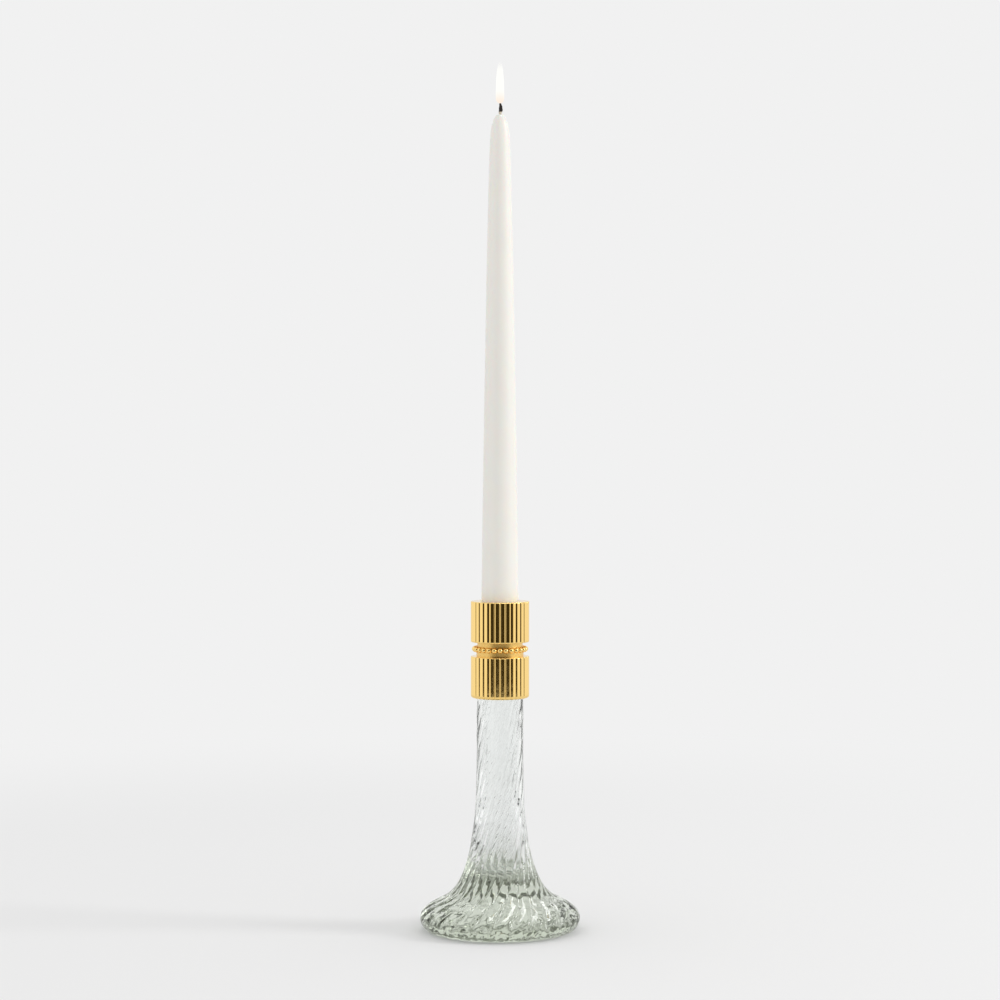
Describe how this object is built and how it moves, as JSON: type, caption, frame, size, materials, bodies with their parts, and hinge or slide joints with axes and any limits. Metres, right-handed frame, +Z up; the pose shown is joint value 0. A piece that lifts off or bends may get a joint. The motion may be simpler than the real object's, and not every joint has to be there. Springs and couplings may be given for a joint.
{
  "type": "taper candle holder",
  "caption": "Free-standing taper candle holder: swirl-ribbed clear glass foot and hollow stem, reeded brass collar with a beaded waist, and a taper candle that lifts out of its socket.",
  "frame": {"origin": "centre of the ring that the glass foot stands on, at the height of the table", "axes": "+Z up along the stem and the candle; the picture looks along +Y with +X to the right"},
  "size_m": [0.0946, 0.095, 0.492],
  "materials": {
    "clear_glass": "polished",
    "brass": "polished",
    "steel": "satin",
    "gasket": "matte",
    "compound": "matte",
    "wax": "satin",
    "cotton": "matte"
  },
  "bodies": {
    "holder": {"glass_base": "clear_glass", "rim_gasket": "gasket", "glass_bond": "compound", "ferrule": "brass", "waist_spool": "brass", "beaded_ring": "brass", "candle_cup": "brass", "cup_screw": "steel", "flat_washer": "steel", "lock_washer": "steel", "hex_nut": "steel"},
    "taper": {"candle": "wax", "wick": "cotton"}
  },
  "joints": [
    {"name": "candle_lift", "type": "slide", "parent": "holder", "child": "taper", "axis": [0, 0, 1], "range_m": [0, 0.03]}
  ]
}
